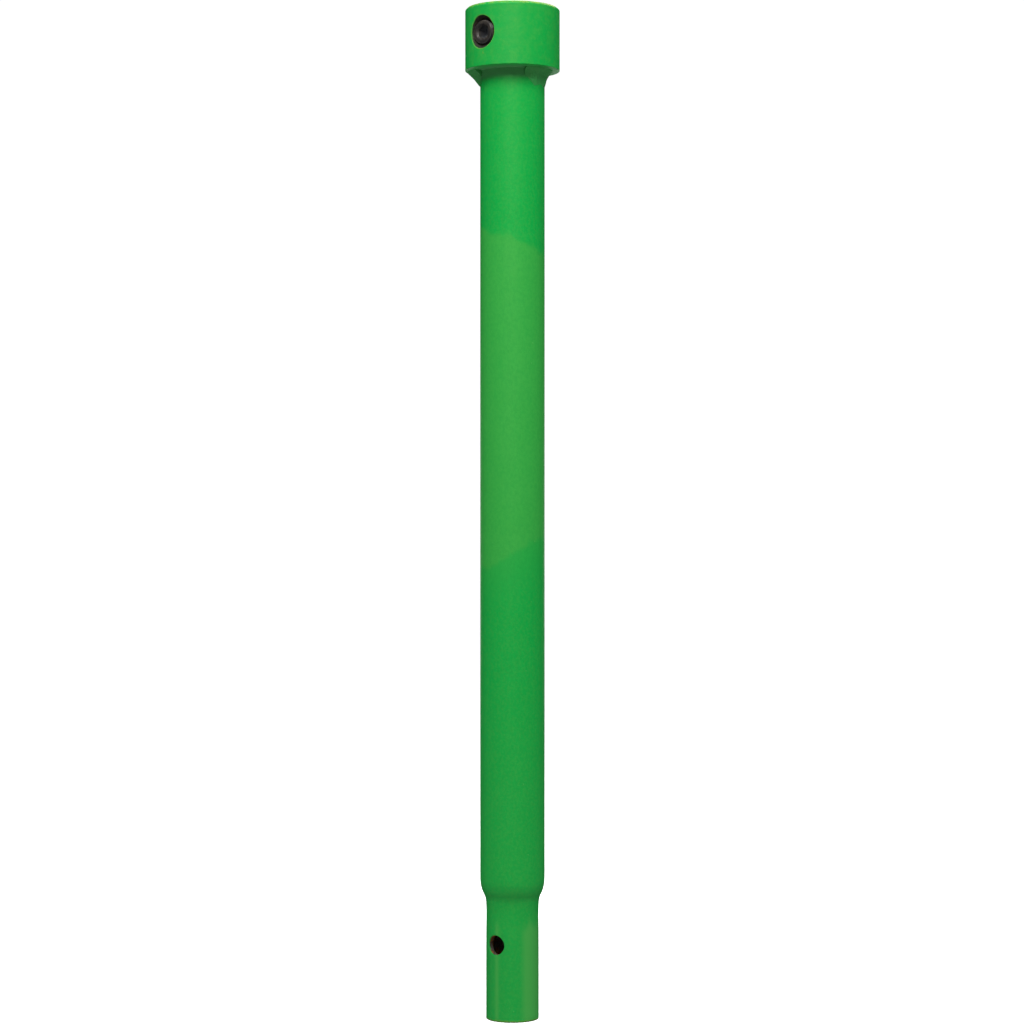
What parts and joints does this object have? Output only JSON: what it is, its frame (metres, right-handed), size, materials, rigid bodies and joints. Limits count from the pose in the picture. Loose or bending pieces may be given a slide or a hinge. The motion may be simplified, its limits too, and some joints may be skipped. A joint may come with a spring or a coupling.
{
  "type": "post driver drive extension",
  "caption": "Tubular drive extension: a pipe swaged to a cross-drilled shank below, with a welded collar and a socket set screw at its open upper end.",
  "frame": {"origin": "centre of the shank's flat end face, on the pipe's axis", "axes": "+Z along the pipe's axis from the shank's end to the collar; the set screw and the shank's cross hole face -Y"},
  "size_m": [0.0618, 0.0618, 0.6604],
  "materials": {
    "tube_paint": "semi-gloss green powder coat",
    "collar_paint": "semi-gloss green powder coat",
    "weld_paint": "green powder coat over a rough weld",
    "black_oxide": "satin black oxide on steel"
  },
  "bodies": {
    "shaft": {"drive_tube": "tube_paint", "coupling_collar": "collar_paint", "weld_bead_left": "weld_paint", "weld_bead_right": "weld_paint"},
    "set_screw": {"set_screw": "black_oxide"}
  },
  "joints": [
    {"name": "set_screw_travel", "type": "slide", "parent": "shaft", "child": "set_screw", "axis": [0, -1, 0], "range_m": [0, 0.00693]}
  ]
}
